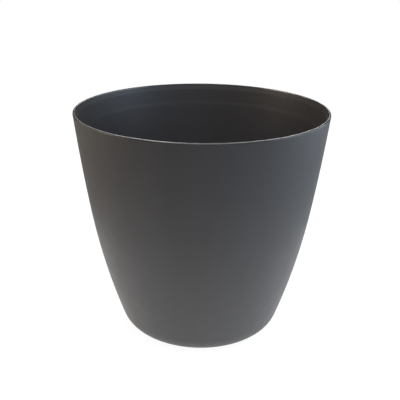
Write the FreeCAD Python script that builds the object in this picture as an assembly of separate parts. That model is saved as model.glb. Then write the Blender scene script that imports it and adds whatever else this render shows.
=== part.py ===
import FreeCAD
import Part
import math
import os

# A round self-watering planter: a tapered plastic pot with a water reservoir in its base, and a lift-out
# insert that carries the soil above the water. The insert is a perforated separator plate on three legs,
# three slotted wick cups that hang in the water, a filler tube with a hinged lid, and a float gauge.
# A screwed plug under the base closes the overflow pipe, for use indoors.
# Millimetres. +Z is up, the origin is the centre of the foot, and -Y is the side of the filler and gauge.

Vector = FreeCAD.Vector
UP = Vector(0, 0, 1)
ORIGIN = Vector(0, 0, 0)

# ---- Driving dimensions: the pot ----
rim_diameter = 300.0
pot_height = 275.8
rim_lean = math.radians(6.3)        # how far the wall leans outwards from vertical at the rim
upper_bow = 2295.0                  # radius of the gentle bow of the upper wall
lower_bow = 807.0                   # radius of the stronger bow of the lower wall
bow_change_z = 158.0                # height where one bow turns into the other
heel_radius = 30.0                  # rounding between the wall and the foot
wall = 3.0                          # thickness of the floor and the lower wall
ring_wall = 3.95                    # the wall thickens upwards, to this at the stacking ring
upper_wall = 3.7                    # between the stacking ring and the lip
lip_width = 2.8                     # of the lip's top, with both of its rounded edges
lip_round = 1.3                     # outer edge
lip_inner_round = 0.5
lip_depth = 7.0                     # from the top down to where the lip's inner slope meets the wall
stacking_ring_depth = 25.0          # faint ring inside, below the rim
stacking_ring_rise = 5.0
foot_inner_radius = 57.0            # the foot is a ring from here out to the heel
foot_recess = 3.0
base_rib_count = 8
base_rib_width = 2.0
base_rib_low_z = 0.8
ledge_width = 2.8                   # of the ring on the wall that the separator plate's edge rests over

# ---- Driving dimensions: drain ----
well_radius = 20.0                  # finger room around the plug
well_depth = 10.0
well_wall = 2.5
well_roof = 3.0
pipe_top_z = 48.0                   # the highest water level
pipe_radius = 12.0
pipe_flange_radius = 27.0
pipe_flange_thickness = 2.0
thread_bore = 7.3                   # crest radius of the thread in the pipe
pipe_gap = 0.05                     # between the overflow fitting and the hole it is welded into
pipe_collar_width = 3.0             # of the ring under the floor around that hole
thread_pitch = 4.0
thread_turns = 2.0
thread_height = 1.2                 # from the plug's shank to the crest of its thread
thread_foot = 2.0                   # width of the thread at the shank
thread_crest = 1.0                  # and at its crest
thread_play = 0.3
plug_shank_radius = 7.0
plug_head_radius = 14.0
plug_head_thickness = 3.3
plug_grip_height = 3.0
seal_section = 1.3                  # section radius of the O-ring
seal_play = 0.05

# ---- Driving dimensions: insert ----
plate_top_z = 62.0
plate_thickness = 2.5
plate_rib_count = 6
skirt_depth = 3.5
skirt_width = 2.4
edge_gap = 1.3                      # between the plate's edge and the pot's wall
seat_gap = 0.2                      # between the skirt and the ledge

cup_place_radius = 62.0
cup_angles = (90.0, 210.0, 330.0)
cup_neck_radius = 23.0
cup_foot_radius = 16.0
cup_flange_radius = 27.0
cup_flange_thickness = 2.0
cup_wall = 1.8
cup_bottom_z = 11.0
cup_slot_count = 10
cup_slot_width = 3.0

leg_place_radius = 44.0
leg_angles = (30.0, 150.0, 270.0)
leg_radius = 8.0
leg_wall = 1.8
leg_spigot_radius = 4.0

filler_x, filler_y = 18.0, -80.0
filler_radius = 14.0
filler_wall = 1.8
funnel_mouth_radius = 20.0
funnel_top_z = 243.0
funnel_height = 17.0
lid_thickness = 2.0
lid_dish = 2.5                      # how far the lid's middle sinks into the funnel
lid_dish_radius = 17.0
hinge_offset = 23.0                 # from the tube's axis to the hinge
hinge_height = 1.3                  # of the pin above the funnel's mouth
hinge_pin_radius = 1.2
lid_opening = 110.0                 # degrees, until the lid's heel meets the funnel

gauge_x, gauge_y = -18.0, -66.0
gauge_radius = 11.0
gauge_wall = 1.3
gauge_foot_z = 8.5
gauge_foot_floor = 1.9
gauge_window_z = 200.0              # where the clear head starts
gauge_head_cap = 1.6
float_travel = 35.0                 # until the indicator meets the top of the clear head
float_radius = 8.6
float_length = 34.0
float_draught = 10.0                # how deep the float sits in the water
rod_radius = 1.5
tip_radius = 5.0
tip_length = 10.0
low_mark_rise = 3.0                 # of the float, when the gauge reads low

slide_fit = 0.15                    # gap all round a part that slips over or into another
clip_z = 150.0
clip_height = 10.0
clip_wall = 2.2


# ---- Shared shapes ----
def section_point(point):
    return Vector(point[0], 0, point[1])


def lathe(start, *moves):
    """Turns a closed half-section about Z. A move is (r, z) for a line, or (mid, end) for an arc."""
    edges = []
    here = start
    for move in list(moves) + [start]:
        if isinstance(move[0], tuple):
            middle, there = move
            edges.append(Part.Arc(section_point(here), section_point(middle), section_point(there)).toShape())
        else:
            there = move
            edges.append(Part.LineSegment(section_point(here), section_point(there)).toShape())
        here = there
    return Part.Face(Part.Wire(edges)).revolve(ORIGIN, UP, 360)


def ring(inner, outer, low, high):
    return lathe((inner, low), (outer, low), (outer, high), (inner, high))


def cylinder(radius, low, high):
    return Part.makeCylinder(radius, high - low, Vector(0, 0, low))


def block(x0, x1, y0, y1, z0, z1):
    return Part.makeBox(x1 - x0, y1 - y0, z1 - z0, Vector(x0, y0, z0))


def slot(length, width, low, high):
    """A round-ended slot cutter, lying along X."""
    half = (length - width) / 2
    tool = block(-half, half, -width / 2, width / 2, low, high)
    for x in (-half, half):
        end = cylinder(width / 2, low, high)
        end.translate(Vector(x, 0, 0))
        tool = tool.fuse(end)
    return tool.removeSplitter()


def moved(shape, x=0.0, y=0.0, z=0.0):
    copy = shape.copy()
    copy.translate(Vector(x, y, z))
    return copy


def turned(shape, degrees):
    copy = shape.copy()
    copy.rotate(ORIGIN, UP, degrees)
    return copy


def around(shape, count, first=0.0):
    return [turned(shape, first + i * 360.0 / count) for i in range(count)]


def polar(radius, degrees):
    a = math.radians(degrees)
    return radius * math.cos(a), radius * math.sin(a)


def helix_ridge(root_radius, height, foot_width, crest_width, low, turns, pitch):
    """A trapezoid ridge on a right-handed helix. It starts a little inside the root so that it fuses."""
    sunk = 0.4
    helix = Part.makeHelix(pitch, turns * pitch, root_radius)
    slope = (foot_width - crest_width) / 2 / height
    foot = foot_width / 2 + sunk * slope
    corners = [(root_radius - sunk, -foot), (root_radius + height, -crest_width / 2),
               (root_radius + height, crest_width / 2), (root_radius - sunk, foot)]
    profile = Part.makePolygon([section_point(c) for c in corners + corners[:1]])
    ridge = Part.Wire(helix.Edges).makePipeShell([profile], True, True)
    return moved(ridge, z=low)


# ---- The pot's wall, as arcs in the half-section ----
class Bow:
    """One arc of the pot's outer wall. A point on it is given by the wall's lean there."""

    def __init__(self, centre, radius):
        self.centre = centre
        self.radius = radius

    def at_lean(self, lean, inset=0.0):
        reach = self.radius - inset
        return self.centre[0] + reach * math.cos(lean), self.centre[1] - reach * math.sin(lean)

    def lean_at(self, z, inset=0.0):
        return math.asin((self.centre[1] - z) / (self.radius - inset))

    def at_height(self, z, inset=0.0):
        return self.at_lean(self.lean_at(z, inset), inset)

    def arc(self, lean0, lean1, inset=0.0):
        """The move for lathe() that follows this arc to lean1."""
        return self.at_lean((lean0 + lean1) / 2, inset), self.at_lean(lean1, inset)


rim_radius = rim_diameter / 2
rim_edge_z = pot_height - lip_round
upper = Bow((rim_radius - upper_bow * math.cos(rim_lean),
             rim_edge_z + upper_bow * math.sin(rim_lean)), upper_bow)
change_lean = upper.lean_at(bow_change_z)
change_point = upper.at_lean(change_lean)
lower = Bow((change_point[0] - lower_bow * math.cos(change_lean),
             change_point[1] + lower_bow * math.sin(change_lean)), lower_bow)
heel_lean = math.asin((lower.centre[1] - heel_radius) / (lower_bow - heel_radius))
heel = Bow((lower.centre[0] + (lower_bow - heel_radius) * math.cos(heel_lean), heel_radius), heel_radius)
DOWN_LEAN = math.pi / 2


def inner_radius(z):
    """The radius of the pot's inner face at a height below the change of bow."""
    bow = lower if z >= heel_radius else heel
    return bow.at_height(z, wall)[0]


# ---- Heights that more than one part uses ----
floor_z = foot_recess + wall        # the pot's floor, inside
pipe_hole_radius = well_radius + well_wall + pipe_gap
plate_under_z = plate_top_z - plate_thickness
ledge_z = plate_under_z - skirt_depth - seat_gap
plug_head_top_z = well_depth - 2 * (seal_section + seal_play)
thread_start_z = well_depth + 2.0
tube_top_z = funnel_top_z - funnel_height + 8.0
hinge_z = funnel_top_z + hinge_height
float_low_z = gauge_foot_z + gauge_foot_floor + 0.4
tip_low_z = gauge_window_z - 4.0
tip_high_z = tip_low_z + tip_length
gauge_top_z = tip_high_z + float_travel + 0.4 + gauge_head_cap


# ---- The pot ----
def pot_body():
    collar_radius = pipe_hole_radius + pipe_collar_width
    ring_top = pot_height - stacking_ring_depth + stacking_ring_rise / 2
    ring_bottom = ring_top - stacking_ring_rise
    gutter_radius = foot_inner_radius + wall
    band_leans = [upper.lean_at(z, upper_wall) for z in (pot_height - lip_depth, ring_top)]
    ring_lean = upper.lean_at(ring_bottom, ring_wall)
    ledge_lean = lower.lean_at(ledge_z, wall)
    ledge_radius = lower.at_lean(ledge_lean, wall)[0] - ledge_width
    ledge_foot_lean = math.acos((ledge_radius - lower.centre[0]) / (lower_bow - wall))
    outer_in = lip_round * (1 - math.sqrt(0.5))
    inner_in = lip_inner_round * (1 - math.sqrt(0.5))
    lip_inner_radius = rim_radius - lip_width
    return lathe(
        (pipe_hole_radius, base_rib_low_z),
        (collar_radius, base_rib_low_z),
        (collar_radius + 0.5, foot_recess),
        (foot_inner_radius - 0.6, foot_recess),
        (foot_inner_radius, 0.0),
        (heel.centre[0], 0.0),
        heel.arc(DOWN_LEAN, heel_lean),
        lower.arc(heel_lean, change_lean),
        upper.arc(change_lean, rim_lean),
        ((rim_radius - outer_in, pot_height - outer_in), (rim_radius - lip_round, pot_height)),
        (lip_inner_radius + lip_inner_round, pot_height),
        ((lip_inner_radius + inner_in, pot_height - inner_in),
         (lip_inner_radius, pot_height - lip_inner_round)),
        upper.at_lean(band_leans[0], upper_wall),
        upper.arc(*band_leans, upper_wall),
        upper.at_lean(ring_lean, ring_wall),
        (upper.at_lean((ring_lean + change_lean) / 2, (ring_wall + wall) / 2),
         upper.at_lean(change_lean, wall)),
        lower.arc(change_lean, ledge_lean, wall),
        (ledge_radius, ledge_z),
        lower.at_lean(ledge_foot_lean, wall),
        lower.arc(ledge_foot_lean, heel_lean, wall),
        heel.arc(heel_lean, DOWN_LEAN, wall),
        (gutter_radius, wall),
        (gutter_radius - 1.0, floor_z),
        (pipe_hole_radius, floor_z),
    )


def base_rib():
    """A stiffening rib in the recess under the base, from the collar out to the foot."""
    sunk = 0.5
    inner_end = pipe_hole_radius + pipe_collar_width - sunk
    return block(inner_end, foot_inner_radius + sunk, -base_rib_width / 2, base_rib_width / 2,
                 base_rib_low_z, foot_recess + sunk)


def planter_shell():
    return pot_body().fuse(around(base_rib(), base_rib_count))


# ---- Drain: overflow pipe, plug and seal ----
def overflow_pipe():
    """The overflow fitting, welded into the pot's floor: the plug's well, a flange and the pipe above it."""
    bevel = 0.8
    well_outer = well_radius + well_wall
    roof_z = well_depth + well_roof
    flange_top = floor_z + pipe_flange_thickness
    body = lathe(
        (thread_bore, well_depth),
        (well_radius, well_depth),
        (well_radius + 0.3, base_rib_low_z),
        (well_outer, base_rib_low_z),
        (well_outer, floor_z),
        (pipe_flange_radius, floor_z),
        (pipe_flange_radius, flange_top - bevel),
        (pipe_flange_radius - bevel, flange_top),
        (well_outer, flange_top),
        (well_outer - 0.4, roof_z - bevel),
        (well_outer - 0.4 - bevel, roof_z),
        (pipe_radius, roof_z),
        (pipe_radius - bevel, pipe_top_z),
        (thread_bore, pipe_top_z),
    )
    groove = helix_ridge(plug_shank_radius, thread_height + thread_play, thread_foot + 2 * thread_play,
                         thread_crest + 2 * thread_play, thread_start_z - thread_pitch, thread_turns + 2.0,
                         thread_pitch)
    return body.cut(groove)


def drain_plug():
    head_low = plug_head_top_z - plug_head_thickness
    shank_top = thread_start_z + thread_turns * thread_pitch + 3.0
    bevel = 0.8
    body = lathe(
        (0.0, head_low),
        (plug_head_radius - bevel, head_low),
        (plug_head_radius, head_low + bevel),
        (plug_head_radius, plug_head_top_z),
        (plug_shank_radius, plug_head_top_z),
        (plug_shank_radius, shank_top - bevel),
        (plug_shank_radius - bevel, shank_top),
        (0.0, shank_top),
    )
    flute = cylinder(1.2, head_low - 1, plug_head_top_z + 1)
    flutes = around(moved(flute, x=plug_head_radius + 0.5), 20)
    grip = slot(2 * plug_head_radius - 5.0, 4.0, head_low - plug_grip_height, head_low + 0.5)
    ridge = helix_ridge(plug_shank_radius, thread_height, thread_foot, thread_crest, thread_start_z,
                        thread_turns, thread_pitch)
    return body.cut(flutes).fuse([grip, ridge])


def drain_seal():
    reach = plug_shank_radius + thread_height + 0.2 + seal_section
    middle_z = plug_head_top_z + seal_section + seal_play
    return Part.makeTorus(reach, seal_section, Vector(0, 0, middle_z))


# ---- Separator plate ----
def cup_places():
    return [polar(cup_place_radius, a) for a in cup_angles]


def leg_places():
    return [polar(leg_place_radius, a) for a in leg_angles]


def plate_slots():
    """Drain and air slots on rings round the plate, between its ribs and clear of the pieces on it."""
    cutter = slot(8.0, 2.6, plate_under_z - 0.5, plate_top_z + 1)
    keep_clear = [(x, y, cup_flange_radius + 5.5) for x, y in cup_places()]
    keep_clear += [(x, y, leg_radius + 5.0) for x, y in leg_places()]
    keep_clear += [(filler_x, filler_y, filler_radius + 8.5), (gauge_x, gauge_y, gauge_radius + 8.5)]
    cutters = []
    for radius in (12.0, 22.0, 32.0, 42.0, 52.0, 62.0, 72.0, 82.0, 92.0, 100.0):
        count = plate_rib_count * round(2 * math.pi * radius / 13.0 / plate_rib_count)
        for i in range(count):
            angle = (i + 0.5) * 360.0 / count
            x, y = polar(radius, angle)
            if all(math.hypot(x - cx, y - cy) > clear for cx, cy, clear in keep_clear):
                cutters.append(moved(turned(cutter, angle + 90.0), x, y))
    return cutters


def separator_plate():
    under = plate_under_z
    skirt_z = under - skirt_depth
    edge_low = inner_radius(skirt_z) - edge_gap
    edge_high = inner_radius(plate_top_z) - edge_gap
    disc = lathe(
        (0.0, under),
        (edge_low - skirt_width, under),
        (edge_low - skirt_width, skirt_z),
        (edge_low, skirt_z),
        (edge_high, plate_top_z),
        (edge_high - 1.6, plate_top_z + 1.6),
        (edge_high - 3.2, plate_top_z),
        (0.0, plate_top_z),
    )
    stiffeners = [ring(r, r + 1.6, skirt_z, under + 0.5) for r in (76.2, 86.5)]
    rib = block(17.0, edge_low - skirt_width + 0.5, -0.8, 0.8, skirt_z, under + 0.5)
    stiffeners += around(rib, plate_rib_count)
    filler_collar = moved(ring(filler_radius - 3.0, filler_radius + 2.6, under, plate_top_z + 10.0),
                          filler_x, filler_y)
    gauge_collar = moved(ring(gauge_radius, gauge_radius + 2.4, under, plate_top_z + 8.0), gauge_x, gauge_y)
    holes = [moved(cylinder(cup_neck_radius + 0.4, 0.0, plate_top_z + 5), x, y) for x, y in cup_places()]
    holes += [moved(cylinder(leg_spigot_radius + 0.2, 0.0, plate_top_z + 5), x, y) for x, y in leg_places()]
    holes += [moved(cylinder(leg_radius + 1.0, 0.0, under), x, y) for x, y in leg_places()]
    above = plate_top_z + 20.0
    holes.append(moved(cylinder(gauge_radius + slide_fit, 0.0, above), gauge_x, gauge_y))
    holes.append(moved(cylinder(filler_radius - filler_wall - 0.6, 0.0, above), filler_x, filler_y))
    holes.append(moved(cylinder(filler_radius + slide_fit, plate_top_z - 0.8, above), filler_x, filler_y))
    solid = disc.fuse(stiffeners + [filler_collar, gauge_collar])
    return solid.cut(holes + plate_slots())


# ---- Wick cup ----
def wick_cup():
    """A slotted basket: soil packed in it draws the water up."""
    under = plate_under_z
    flange_top = plate_top_z + cup_flange_thickness
    floor_top = cup_bottom_z + cup_wall
    body = lathe(
        (0.0, cup_bottom_z),
        (cup_foot_radius, cup_bottom_z),
        (cup_neck_radius, under),
        (cup_neck_radius, plate_top_z),
        (cup_flange_radius, plate_top_z),
        (cup_flange_radius, flange_top - 0.6),
        (cup_flange_radius - 0.6, flange_top),
        (cup_neck_radius - cup_wall + 0.8, flange_top),
        (cup_neck_radius - cup_wall, flange_top - 0.8),
        (cup_neck_radius - cup_wall, under),
        (cup_foot_radius - cup_wall, floor_top),
        (0.0, floor_top),
    )
    side = slot(34.0, cup_slot_width, -8.0, 8.0)
    side.rotate(ORIGIN, Vector(0, 1, 0), 90)
    side.translate(Vector(cup_neck_radius - 3.0, 0, (cup_bottom_z + under) / 2))
    floor_slot = moved(slot(8.0, 2.4, cup_bottom_z - 1, floor_top + 1), x=8.5)
    barb_top = under - 0.3
    barb = block(cup_neck_radius - 1.2, cup_neck_radius + 1.3, -2.5, 2.5, barb_top - 1.4, barb_top)
    barbs = around(barb, 3, 30.0)
    floor_hole = cylinder(2.2, cup_bottom_z - 1, floor_top + 1)
    cutters = around(side, cup_slot_count) + around(floor_slot, 6) + [floor_hole]
    return body.cut(cutters).fuse(barbs)


# ---- Support leg ----
def support_leg():
    """A hollow column that clips into the plate and stands on the pot's floor."""
    under = plate_under_z
    body = lathe(
        (leg_radius - leg_wall, floor_z),
        (leg_radius + 0.8, floor_z),
        (leg_radius + 0.8, floor_z + 1.6),
        (leg_radius, floor_z + 2.4),
        (leg_radius - 0.8, under),
        (leg_spigot_radius, under),
        (leg_spigot_radius, plate_top_z + 0.2),
        (leg_spigot_radius + 0.8, plate_top_z + 0.2),
        (leg_spigot_radius + 0.8, plate_top_z + 0.9),
        (leg_spigot_radius - 0.6, plate_top_z + 2.4),
        (0.0, plate_top_z + 2.4),
        (0.0, under - 2.0),
        (leg_radius - leg_wall - 0.8, under - 2.0),
    )
    cuts = [block(-0.5, 0.5, -9.0, 9.0, plate_top_z - 1.5, plate_top_z + 4),
            block(-9.0, 9.0, -0.5, 0.5, plate_top_z - 1.5, plate_top_z + 4)]
    doors = around(block(0.0, leg_radius + 2, -2.0, 2.0, floor_z - 1, floor_z + 9.0), 3, 30.0)
    return body.cut(cuts + doors)


# ---- Filler ----
def fill_tube():
    tube = ring(filler_radius - filler_wall, filler_radius, plate_top_z - 0.8, tube_top_z)
    return moved(tube, filler_x, filler_y)


def filler_funnel():
    """The pouring mouth that slips over the tube, with two ears for the lid's hinge."""
    low = funnel_top_z - funnel_height
    sleeve = filler_radius + slide_fit
    skin = 1.8
    mouth = funnel_mouth_radius
    body = lathe(
        (sleeve, low),
        (sleeve + skin, low),
        (sleeve + skin, tube_top_z),
        (mouth, funnel_top_z - 3.0),
        (mouth, funnel_top_z),
        (mouth - skin, funnel_top_z),
        (mouth - skin, funnel_top_z - 3.0),
        (sleeve - 2.2, tube_top_z + slide_fit),
        (sleeve, tube_top_z + slide_fit),
    )
    ears = []
    for x0, x1 in ((-7.4, -4.4), (4.4, 7.4)):
        ear = Part.makeCylinder(3.0, x1 - x0, Vector(x0, -hinge_offset, hinge_z), Vector(1, 0, 0))
        leg = block(x0, x1, -hinge_offset - 3.0, -mouth + 0.9, funnel_top_z - 3.0, hinge_z)
        web = Part.makePolygon([Vector(x0, -hinge_offset - 3.0, funnel_top_z - 3.0),
                                Vector(x0, -mouth + 0.9, funnel_top_z - 3.0),
                                Vector(x0, -sleeve - 0.9, tube_top_z),
                                Vector(x0, -hinge_offset - 3.0, funnel_top_z - 3.0)])
        ears += [ear, leg, Part.Face(web).extrude(Vector(x1 - x0, 0, 0))]
    bowl = cylinder(mouth - skin, funnel_top_z - 3.0, funnel_top_z + 9)
    above = block(-8.0, 8.0, -mouth - 0.4, 0.0, funnel_top_z, hinge_z + 4)
    pin_hole = Part.makeCylinder(hinge_pin_radius + 0.02, 16.0, Vector(-8.0, -hinge_offset, hinge_z),
                                 Vector(1, 0, 0))
    solid = body.fuse(ears).cut([bowl, above, pin_hole])
    return moved(solid, filler_x, filler_y)


def filler_lid():
    """The dished flap on the funnel: a knuckle, a finger tab, and a heel that stops it open."""
    low = funnel_top_z + 0.3
    high = low + lid_thickness
    bevel = 0.6
    dish = lathe(
        (0.0, low - lid_dish),
        (lid_dish_radius - bevel, low - lid_dish),
        (lid_dish_radius, low - lid_dish + bevel),
        (lid_dish_radius, low),
        (funnel_mouth_radius, low),
        (funnel_mouth_radius, high - bevel),
        (funnel_mouth_radius - bevel, high),
        (lid_dish_radius - lid_thickness + bevel, high),
        (lid_dish_radius - lid_thickness, high - bevel),
        (lid_dish_radius - lid_thickness, high - lid_dish),
        (0.0, high - lid_dish),
    )
    tab = slot(16.0, 11.0, low, high)
    tab = moved(turned(tab, 90.0), y=funnel_mouth_radius - 2.0)
    bowl = cylinder(lid_dish_radius, low - lid_dish, high + 1)
    knuckle = Part.makeCylinder(2.8, 8.2, Vector(-4.1, -hinge_offset, hinge_z), Vector(1, 0, 0))
    arm = block(-4.1, 4.1, -hinge_offset, -funnel_mouth_radius + 2.0, low, high)
    hole = Part.makeCylinder(hinge_pin_radius + 0.08, 12.0, Vector(-6.0, -hinge_offset, hinge_z),
                             Vector(1, 0, 0))
    ridge = moved(slot(9.0, 1.6, high - 0.3, high + 0.7), y=funnel_mouth_radius + 3.0)
    wall_gap = hinge_offset - funnel_mouth_radius - 0.05
    heel_stop = block(-4.1, 4.1, -hinge_offset, wall_gap - hinge_offset, hinge_z - 4.4, hinge_z - 1.9)
    heel_stop.rotate(Vector(0, -hinge_offset, hinge_z), Vector(1, 0, 0), -lid_opening)
    solid = dish.fuse([knuckle, arm, ridge, heel_stop, tab.cut(bowl)]).cut(hole)
    return moved(solid, filler_x, filler_y)


def lid_hinge_pin():
    start = Vector(filler_x - 7.8, filler_y - hinge_offset, hinge_z)
    return Part.makeCylinder(hinge_pin_radius, 15.6, start, Vector(1, 0, 0))


# ---- Float gauge ----
def gauge_tube():
    low = gauge_foot_z + 2.0
    tube = ring(gauge_radius - gauge_wall, gauge_radius, low, gauge_window_z)
    stop = ring(gauge_radius - 0.5, gauge_radius + 1.6, plate_top_z + 8.1, plate_top_z + 9.9)
    slit = slot(28.0, 3.0, -4.0, 4.0)
    slit.rotate(ORIGIN, Vector(0, 1, 0), 90)
    slit.translate(Vector(gauge_radius, 0, 34.0))
    tube = tube.fuse(stop).cut(around(slit, 4, 45.0))
    return moved(tube, gauge_x, gauge_y)


def gauge_foot():
    """The slotted cap that keeps the float in the tube and lets the water in."""
    low = gauge_foot_z
    cap = lathe(
        (0.0, low),
        (gauge_radius + 1.6, low),
        (gauge_radius + 1.6, low + 7.0),
        (gauge_radius + slide_fit, low + 7.0),
        (gauge_radius + slide_fit, low + gauge_foot_floor),
        (0.0, low + gauge_foot_floor),
    )
    slits = around(moved(slot(6.0, 2.0, low - 1, low + 3), x=6.0), 5)
    return moved(cap.cut(slits), gauge_x, gauge_y)


def gauge_head():
    """The clear head in which the indicator shows, with a ring at its low mark and its high mark."""
    spigot = gauge_radius - gauge_wall - slide_fit
    bore = spigot - 1.5
    top = gauge_top_z
    body = lathe(
        (bore, gauge_window_z - 7.0),
        (spigot, gauge_window_z - 7.0),
        (spigot, gauge_window_z + 0.1),
        (gauge_radius, gauge_window_z + 0.1),
        (gauge_radius, top - 2.5),
        ((gauge_radius - 0.7, top - 0.7), (gauge_radius - 2.5, top)),
        (0.0, top),
        (0.0, top - gauge_head_cap),
        (bore, top - gauge_head_cap),
    )
    full_rise = pipe_top_z - float_draught - float_low_z
    marks = [ring(gauge_radius - 0.3, gauge_radius + 0.4, tip_high_z + rise - 0.5, tip_high_z + rise + 0.5)
             for rise in (low_mark_rise, full_rise)]
    return moved(body.fuse(marks), gauge_x, gauge_y)


def gauge_float():
    bevel = 1.5
    high = float_low_z + float_length
    socket = rod_radius + 0.05
    body = lathe(
        (0.0, float_low_z),
        (float_radius - bevel, float_low_z),
        (float_radius, float_low_z + bevel),
        (float_radius, high - bevel),
        (float_radius - bevel, high),
        (socket, high),
        (socket, high - 12.0),
        (0.0, high - 12.0),
    )
    return moved(body, gauge_x, gauge_y)


def float_rod():
    low = float_low_z + float_length - 11.9
    return moved(cylinder(rod_radius, low, tip_low_z + 7.0), gauge_x, gauge_y)


def indicator_tip():
    socket = rod_radius + 0.05
    bevel = 1.2
    body = lathe(
        (socket, tip_low_z),
        (tip_radius, tip_low_z),
        (tip_radius, tip_high_z - bevel),
        (tip_radius - bevel, tip_high_z),
        (0.0, tip_high_z),
        (0.0, tip_low_z + 7.1),
        (socket, tip_low_z + 7.1),
    )
    return moved(body, gauge_x, gauge_y)


# ---- Clip that ties the two tubes together ----
def tube_clip():
    high = clip_z + clip_height
    gap_x, gap_y = filler_x - gauge_x, filler_y - gauge_y
    span = math.hypot(gap_x, gap_y)
    bearing = math.degrees(math.atan2(gap_y, gap_x))
    gauge_bore = gauge_radius + slide_fit
    filler_bore = filler_radius + slide_fit
    rings = [cylinder(gauge_bore + clip_wall, clip_z, high),
             moved(cylinder(filler_bore + clip_wall, clip_z, high), x=span)]
    web = block(0.0, span, -2.0, 2.0, clip_z, high)
    mouths = [block(-30.0, 0.0, -8.0, 8.0, clip_z - 1, high + 1),
              block(span, span + 30.0, -10.5, 10.5, clip_z - 1, high + 1)]
    bores = [cylinder(gauge_bore, clip_z - 1, high + 1),
             moved(cylinder(filler_bore, clip_z - 1, high + 1), x=span)]
    solid = rings[0].fuse([rings[1], web]).cut(mouths + bores)
    return moved(turned(solid, bearing), gauge_x, gauge_y)


# ---- Write every sub-part ----
def all_parts():
    parts = {
        "planter_shell": planter_shell(),
        "overflow_pipe": overflow_pipe(),
        "drain_plug": drain_plug(),
        "drain_seal": drain_seal(),
        "separator_plate": separator_plate(),
        "fill_tube": fill_tube(),
        "filler_funnel": filler_funnel(),
        "filler_lid": filler_lid(),
        "lid_hinge_pin": lid_hinge_pin(),
        "gauge_tube": gauge_tube(),
        "gauge_foot": gauge_foot(),
        "gauge_head": gauge_head(),
        "gauge_float": gauge_float(),
        "float_rod": float_rod(),
        "indicator_tip": indicator_tip(),
        "tube_clip": tube_clip(),
    }
    for i, (x, y) in enumerate(cup_places(), 1):
        parts["wick_cup_%d" % i] = moved(turned(wick_cup(), cup_angles[i - 1]), x, y)
    for i, (x, y) in enumerate(leg_places(), 1):
        parts["support_leg_%d" % i] = moved(turned(support_leg(), leg_angles[i - 1]), x, y)
    return parts


os.makedirs("parts", exist_ok=True)
for name, shape in all_parts().items():
    clean = shape.removeSplitter()
    facts = (name, len(clean.Solids), clean.isValid(), clean.Volume)
    print("%-18s solids %d  valid %s  volume %.0f mm3" % facts)
    clean.exportStep("parts/%s.step" % name)
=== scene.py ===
import math

import bpy
from mathutils import Matrix, Vector


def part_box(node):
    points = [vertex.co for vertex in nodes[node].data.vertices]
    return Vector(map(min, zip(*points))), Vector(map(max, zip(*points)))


# The looks of a self-watering planter: a charcoal pot with a lift-out insert.
# Metres, in the frame of the CAD model: +Z up, the pot's foot on z = 0, the filler and gauge towards -Y.

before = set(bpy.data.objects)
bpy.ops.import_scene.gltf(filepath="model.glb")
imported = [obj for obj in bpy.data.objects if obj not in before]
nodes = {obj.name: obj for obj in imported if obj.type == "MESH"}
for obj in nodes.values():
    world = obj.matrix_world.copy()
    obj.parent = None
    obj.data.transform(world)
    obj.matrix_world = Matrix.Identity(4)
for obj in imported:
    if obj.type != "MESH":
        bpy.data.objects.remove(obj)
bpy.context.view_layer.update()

MM = 0.001
RIM_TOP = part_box("planter_shell")[1][2]
WATER_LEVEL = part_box("overflow_pipe")[1][2]     # the overflow pipe's top sets it


# ---- Camera ----
def make_camera():
    """Stands in front of the pot and looks down into it at about 20 degrees."""
    place = Vector((0.0, -0.8074, 0.4651))
    pitch = math.radians(20.65)
    yaw = math.radians(-0.08)
    roll = math.radians(0.58)
    forward = Vector((math.sin(yaw) * math.cos(pitch), math.cos(yaw) * math.cos(pitch), -math.sin(pitch)))
    level = forward.cross(Vector((0, 0, 1))).normalized()
    upright = level.cross(forward)
    right = level * math.cos(roll) + upright * math.sin(roll)
    up = upright * math.cos(roll) - level * math.sin(roll)
    data = bpy.data.cameras.new("camera")
    data.lens = 63.0
    data.sensor_width = 36.0
    camera = bpy.data.objects.new("camera", data)
    turn = Matrix((right, up, -forward)).transposed().to_4x4()
    camera.matrix_world = Matrix.Translation(place) @ turn
    bpy.context.scene.collection.objects.link(camera)
    bpy.context.scene.camera = camera


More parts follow.
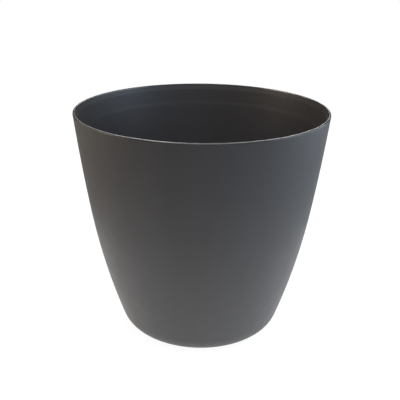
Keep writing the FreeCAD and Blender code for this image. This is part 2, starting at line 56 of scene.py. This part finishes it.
# ---- Material graphs ----
class Graph:
    """A material's node graph. Each method adds a node and returns the socket that carries its result."""

    def __init__(self, name):
        self.material = bpy.data.materials.new(name)
        self.material.use_nodes = True
        self.tree = self.material.node_tree
        self.tree.nodes.clear()
        self.place = self.node("ShaderNodeTexCoord").outputs["Object"]

    def node(self, kind, inputs=(), **settings):
        made = self.tree.nodes.new(kind)
        for name, value in settings.items():
            setattr(made, name, value)
        for name, value in dict(inputs).items():
            if isinstance(value, bpy.types.NodeSocket):
                self.tree.links.new(value, made.inputs[name])
            else:
                made.inputs[name].default_value = value
        return made

    def calc(self, operation, a, b):
        return self.node("ShaderNodeMath", {0: a, 1: b}, operation=operation).outputs[0]

    def noise(self, size, detail=2.0, stretch=(1, 1, 1), roughness=0.5):
        """Noise whose features are about size metres across, longer along the axes that stretch names."""
        scaled = self.node("ShaderNodeMapping", {"Vector": self.place, "Scale": [1 / s for s in stretch]})
        made = self.node("ShaderNodeTexNoise", {"Vector": scaled.outputs[0], "Scale": 1 / size,
                                                "Detail": detail, "Roughness": roughness})
        return made.outputs["Fac"]

    def cells(self, size):
        made = self.node("ShaderNodeTexVoronoi", {"Vector": self.place, "Scale": 1 / size})
        return made.outputs["Distance"]

    def fade(self, value, low, high, to_low=0.0, to_high=1.0):
        """A smooth step: to_low where value is under low, to_high where it is over high."""
        made = self.node("ShaderNodeMapRange", {"Value": value, "From Min": low, "From Max": high,
                                                "To Min": to_low, "To Max": to_high},
                         interpolation_type="SMOOTHSTEP")
        return made.outputs[0]

    def mix(self, share, a, b):
        made = self.node("ShaderNodeMix", {0: share, 6: a, 7: b}, data_type="RGBA")
        return made.outputs[2]

    def height(self):
        return self.node("ShaderNodeSeparateXYZ", {0: self.place}).outputs["Z"]

    def facing_up(self):
        normal = self.node("ShaderNodeNewGeometry").outputs["Normal"]
        return self.node("ShaderNodeSeparateXYZ", {0: normal}).outputs["Z"]

    def rounded(self, radius):
        """The normal, with sharp edges rounded to that radius."""
        return self.node("ShaderNodeBevel", {"Radius": radius}, samples=4).outputs[0]

    def edges(self, radius):
        """0 on a smooth face, and up to 1 beside a sharp edge."""
        flat = self.node("ShaderNodeNewGeometry").outputs["Normal"]
        likeness = self.node("ShaderNodeVectorMath", {0: self.rounded(radius), 1: flat},
                             operation="DOT_PRODUCT").outputs["Value"]
        return self.fade(likeness, 0.8, 0.99, 1.0, 0.0)

    def bump(self, height, depth, below=None):
        """Relief of that depth in metres, on top of another normal."""
        inputs = {"Height": height, "Strength": 1.0, "Distance": depth}
        if below is not None:
            inputs["Normal"] = below
        return self.node("ShaderNodeBump", inputs).outputs[0]

    def add_shaders(self, first, second):
        return self.node("ShaderNodeAddShader", {0: first.outputs[0], 1: second.outputs[0]}).outputs[0]

    def finish(self, **inputs):
        shader = self.node("ShaderNodeBsdfPrincipled", {k.replace("_", " "): v for k, v in inputs.items()})
        self.node("ShaderNodeOutputMaterial", {"Surface": shader.outputs[0]})
        return self.material


def shade_of(colour, share=1.0):
    return tuple(c * share for c in colour[:3]) + (1.0,)


DUST = (0.30, 0.275, 0.24, 1.0)
LIME = (0.42, 0.41, 0.38, 1.0)
SHELL_CHARCOAL = (0.047, 0.0462, 0.0472)
INSERT_CHARCOAL = (0.030, 0.0298, 0.0305)
GRAIN = 0.4 * MM                                # size of the fine grain on moulded plastic


def moulded_plastic(name, colour, roughness, grain_depth=0.01 * MM, dust=0.0, wear=0.3, lime=0.0, **more):
    """Injection-moulded plastic.

    It has a fine grain, faint flow marks, edges that handling has polished pale, dust where it faces up, and
    faint lime where the water in the reservoir rises and falls.
    """
    g = Graph(name)
    flow = g.noise(40 * MM, 3.0, stretch=(1, 1, 2.2))
    fine = g.noise(GRAIN, 2.0, roughness=0.6)
    shade = g.mix(g.fade(flow, 0.3, 0.7), shade_of(colour, 0.9), shade_of(colour, 1.1))
    shade = g.mix(g.fade(fine, 0.4, 0.75, 0.0, 0.3), shade, shade_of(colour, 1.3))
    worn = g.calc("MULTIPLY", g.edges(0.5 * MM), g.fade(g.noise(6 * MM, 3.0), 0.3, 0.7, 0.2, wear))
    shade = g.mix(worn, shade, shade_of(colour, 2.4))
    if lime:
        level = g.calc("ADD", g.height(), g.calc("MULTIPLY", g.noise(7 * MM, 4.0), 4 * MM))
        band = g.calc("MULTIPLY", g.fade(level, WATER_LEVEL - 14 * MM, WATER_LEVEL - 2 * MM),
                      g.fade(level, WATER_LEVEL + 2 * MM, WATER_LEVEL + 4 * MM, 1.0, 0.0))
        shade = g.mix(g.calc("MULTIPLY", band, lime), shade, LIME)
    if dust:
        patches = g.fade(g.noise(9 * MM, 4.0), 0.35, 0.75, 0.2, 1.0)
        settled = g.calc("MULTIPLY", g.fade(g.facing_up(), 0.5, 0.95), patches)
        shade = g.mix(g.calc("MULTIPLY", settled, dust), shade, DUST)
    rough = g.fade(g.noise(15 * MM, 3.0), 0.3, 0.7, roughness - 0.05, roughness + 0.05)
    relief = g.bump(fine, grain_depth, g.rounded(0.35 * MM))
    return g.finish(Base_Color=shade, Roughness=rough, Normal=relief, **more)


def shell_plastic():
    """The pot's satin charcoal plastic, with scuffs round the foot and a lip that hands have polished."""
    g = Graph("charcoal_shell")
    flow = g.noise(45 * MM, 3.0, stretch=(1, 1, 2.2))
    fine = g.noise(GRAIN, 2.0, roughness=0.6)
    shade = g.mix(g.fade(flow, 0.3, 0.7), shade_of(SHELL_CHARCOAL, 0.96), shade_of(SHELL_CHARCOAL, 1.04))
    shade = g.mix(g.fade(fine, 0.4, 0.75, 0.0, 0.3), shade, shade_of(SHELL_CHARCOAL, 1.3))
    scratches = g.fade(g.noise(1.2 * MM, 2.0, stretch=(9, 9, 1)), 0.62, 0.72)
    low = g.fade(g.height(), 2 * MM, 16 * MM, 1.0, 0.0)
    scuffs = g.calc("MULTIPLY", g.calc("MULTIPLY", scratches, low), 0.35)
    shade = g.mix(scuffs, shade, shade_of(SHELL_CHARCOAL, 3.0))
    patches = g.fade(g.noise(11 * MM, 4.0), 0.4, 0.75)
    settled = g.calc("MULTIPLY", g.calc("MULTIPLY", g.fade(g.facing_up(), 0.6, 0.95), patches), 0.03)
    shade = g.mix(settled, shade, DUST)
    handled = g.fade(g.height(), RIM_TOP - 2 * MM, RIM_TOP - 1 * MM, 0.0, 0.27)
    rough = g.calc("SUBTRACT", g.fade(g.noise(16 * MM, 3.0), 0.3, 0.7, 0.49, 0.53), handled)
    relief = g.bump(scratches, 0.004 * MM, g.bump(fine, 0.01 * MM))
    return g.finish(Base_Color=shade, Roughness=rough, Normal=relief)


def clear_plastic():
    """The gauge's clear head: glassy, with fine scuffs and a slight haze."""
    g = Graph("clear_head")
    scuffs = g.fade(g.noise(0.8 * MM, 3.0, stretch=(1, 1, 7)), 0.6, 0.7, 0.0, 0.25)
    rough = g.calc("ADD", scuffs, g.fade(g.noise(12 * MM, 2.0), 0.3, 0.7, 0.05, 0.12))
    return g.finish(Base_Color=(0.93, 0.96, 0.97, 1.0), Roughness=rough, IOR=1.49, Transmission_Weight=0.92,
                    Normal=g.bump(g.noise(9 * MM, 1.0), 0.05 * MM))


def float_foam():
    """White closed-cell foam, stained up to the water line."""
    g = Graph("float_foam")
    cells = g.cells(1.3 * MM)
    line = g.calc("ADD", g.height(), g.calc("MULTIPLY", g.noise(5 * MM, 4.0), 3 * MM))
    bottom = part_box("gauge_float")[0][2]
    wet = g.fade(line, bottom + 9 * MM, bottom + 15 * MM, 0.45, 0.0)
    shade = g.mix(g.fade(cells, 0.1, 0.8), (0.70, 0.69, 0.65, 1.0), (0.84, 0.835, 0.80, 1.0))
    shade = g.mix(wet, shade, (0.46, 0.41, 0.29, 1.0))
    rough = g.fade(cells, 0.1, 0.8, 0.85, 0.6)
    return g.finish(Base_Color=shade, Roughness=rough, Normal=g.bump(cells, 0.12 * MM, g.rounded(0.6 * MM)),
                    Subsurface_Weight=0.15, Subsurface_Scale=2 * MM)


def seal_rubber():
    """Soft black rubber, dusty where it isn't pressed."""
    g = Graph("seal_rubber")
    fine = g.noise(0.5 * MM, 3.0)
    bloom = g.fade(g.noise(4 * MM, 4.0), 0.45, 0.8, 0.0, 0.12)
    shade = g.mix(bloom, (0.018, 0.018, 0.019, 1.0), (0.16, 0.155, 0.15, 1.0))
    rough = g.fade(fine, 0.3, 0.7, 0.62, 0.8)
    return g.finish(Base_Color=shade, Roughness=rough, Normal=g.bump(fine, 0.02 * MM))


def paint(material, *names):
    for name in names:
        for slot in nodes[name].material_slots:
            slot.material = material


def paint_everything():
    cups = ["wick_cup_%d" % i for i in (1, 2, 3)]
    legs = ["support_leg_%d" % i for i in (1, 2, 3)]
    paint(shell_plastic(), "planter_shell")
    paint(moulded_plastic("fitting_plastic", SHELL_CHARCOAL, 0.45, wear=0.2), "overflow_pipe")
    paint(moulded_plastic("insert_plastic_dark", INSERT_CHARCOAL, 0.5, dust=0.2), "separator_plate")
    paint(moulded_plastic("insert_plastic_wet", INSERT_CHARCOAL, 0.47, lime=0.25), *cups, *legs, "gauge_foot")
    paint(moulded_plastic("tube_plastic", INSERT_CHARCOAL, 0.42, lime=0.2, wear=0.2),
          "fill_tube", "gauge_tube")
    paint(moulded_plastic("fitted_plastic", INSERT_CHARCOAL, 0.44, dust=0.12, wear=0.4),
          "filler_funnel", "filler_lid", "tube_clip")
    paint(moulded_plastic("pin_plastic_smooth", (0.05, 0.05, 0.052), 0.22, grain_depth=0.003 * MM),
          "lid_hinge_pin")
    paint(moulded_plastic("rod_plastic_white", (0.62, 0.61, 0.57), 0.38, wear=0.0, Subsurface_Weight=0.1,
                          Subsurface_Scale=1.5 * MM), "float_rod")
    paint(moulded_plastic("indicator_plastic_red", (0.50, 0.018, 0.012), 0.25, grain_depth=0.004 * MM,
                          wear=0.1, Coat_Weight=0.3), "indicator_tip")
    paint(moulded_plastic("plug_plastic_black", (0.022, 0.022, 0.023), 0.5, wear=0.5), "drain_plug")
    paint(clear_plastic(), "gauge_head")
    paint(float_foam(), "gauge_float")
    paint(seal_rubber(), "drain_seal")


# ---- Stage ----
def area_light(name, place, target, size, power, colour):
    data = bpy.data.lights.new(name, "AREA")
    data.shape = "RECTANGLE"
    data.size, data.size_y = size
    data.energy = power
    data.color = colour
    light = bpy.data.objects.new(name, data)
    light.location = place
    aim = Vector(target) - Vector(place)
    light.rotation_mode = "QUATERNION"
    light.rotation_quaternion = aim.to_track_quat("-Z", "Y")
    bpy.context.scene.collection.objects.link(light)


def make_floor():
    """A white floor that glows softly round the pot, like a light table.

    Its light falls on the pot only from near the foot, and from below it can't be seen.
    """
    radius = 2.4
    rings, steps = 12, 96
    spokes = [2 * math.pi * k / steps for k in range(steps)]
    points = [(0.0, 0.0, 0.0)]
    faces = []
    for i in range(1, rings + 1):
        r = radius * i / rings
        points += [(r * math.cos(a), r * math.sin(a), 0.0) for a in spokes]
    for k in range(steps):
        faces.append((0, 1 + k, 1 + (k + 1) % steps))
    for i in range(rings - 1):
        a, b = 1 + i * steps, 1 + (i + 1) * steps
        for k in range(steps):
            n = (k + 1) % steps
            faces.append((a + k, b + k, b + n, a + n))
    mesh = bpy.data.meshes.new("floor")
    mesh.from_pydata(points, [], faces)
    floor = bpy.data.objects.new("floor", mesh)
    bpy.context.scene.collection.objects.link(floor)

    g = Graph("pale_floor")
    far = g.node("ShaderNodeVectorMath", {0: g.place}, operation="LENGTH").outputs["Value"]
    seen = g.add_shaders(g.node("ShaderNodeEmission", {"Strength": 0.95}),
                         g.node("ShaderNodeBsdfDiffuse", {"Color": (0.12, 0.12, 0.12, 1.0)}))
    lit = g.add_shaders(g.node("ShaderNodeEmission", {"Strength": g.fade(far, 0.28, 0.45, 0.93, 0.0)}),
                        g.node("ShaderNodeBsdfDiffuse", {"Color": (0.5, 0.5, 0.5, 1.0)}))
    clear = g.node("ShaderNodeBsdfTransparent").outputs[0]
    to_camera = g.node("ShaderNodeLightPath").outputs["Is Camera Ray"]
    front = g.node("ShaderNodeMixShader", {0: to_camera, 1: lit, 2: seen}).outputs[0]
    outer_fade = g.fade(far, 0.9, 2.3)
    back = g.node("ShaderNodeNewGeometry").outputs["Backfacing"]
    gone = g.calc("MAXIMUM", outer_fade, back)
    blend = g.node("ShaderNodeMixShader", {0: gone, 1: front, 2: clear}).outputs[0]
    g.node("ShaderNodeOutputMaterial", {"Surface": blend})
    mesh.materials.append(g.material)


def make_world():
    """White to the eye, and almost dark as a light, so that the softboxes shape the pot."""
    world = bpy.data.worlds.new("studio")
    bpy.context.scene.world = world
    world.use_nodes = True
    tree = world.node_tree
    tree.nodes.clear()
    seen, lit = (tree.nodes.new("ShaderNodeBackground") for _ in range(2))
    for background, strength in ((seen, 1.0), (lit, 0.02)):
        background.inputs["Strength"].default_value = strength
        background.inputs["Color"].default_value = (1, 1, 1, 1)
    path = tree.nodes.new("ShaderNodeLightPath")
    mix = tree.nodes.new("ShaderNodeMixShader")
    out = tree.nodes.new("ShaderNodeOutputWorld")
    tree.links.new(path.outputs["Is Camera Ray"], mix.inputs[0])
    tree.links.new(lit.outputs[0], mix.inputs[1])
    tree.links.new(seen.outputs[0], mix.inputs[2])
    tree.links.new(mix.outputs[0], out.inputs["Surface"])


def make_stage():
    """Soft studio light.

    Three softboxes overhead, two cool ones on the right and two warm ones on the left, and two strips behind,
    whose reflections are the bright spots on the front lip.
    """
    make_floor()
    make_world()
    ground, middle, upper = (0, 0, 0), (0, 0, 0.15), (0, 0, 0.2)
    for name, place, target, size, power, colour in (
        ("top_softbox", (0, -0.25, 1.5), ground, (1.4, 0.8), 8.0, (1.0, 0.97, 1.0)),
        ("top_front_softbox", (0, -1.0, 1.5), upper, (1.4, 0.9), 8.8, (0.99, 0.95, 1.0)),
        ("top_back_softbox", (0, 1.4, 1.2), upper, (1.6, 0.8), 9.0, (1.0, 1.0, 0.985)),
        ("back_left_strip", (-0.22, 1.45, 1.2), upper, (0.14, 0.5), 4.6, (1.0, 0.99, 0.96)),
        ("back_right_strip", (0.36, 1.45, 1.1), upper, (0.34, 0.5), 3.4, (0.97, 0.99, 1.0)),
        ("right_softbox", (1.42, -0.45, 0.6), middle, (0.8, 1.0), 9.0, (0.58, 0.76, 1.0)),
        ("left_softbox", (-1.5, -0.2, 0.6), middle, (0.8, 1.0), 6.0, (1.0, 0.82, 0.66)),
        ("right_low_softbox", (1.0, 0.15, 0.28), middle, (1.0, 0.5), 4.3, (0.80, 0.905, 1.0)),
        ("left_low_softbox", (-1.0, 0.15, 0.28), middle, (1.0, 0.5), 1.5, (1.0, 0.86, 0.60)),
    ):
        area_light(name, place, target, size, power, colour)
    bpy.context.scene.view_settings.view_transform = "Standard"


make_camera()
paint_everything()
make_stage()
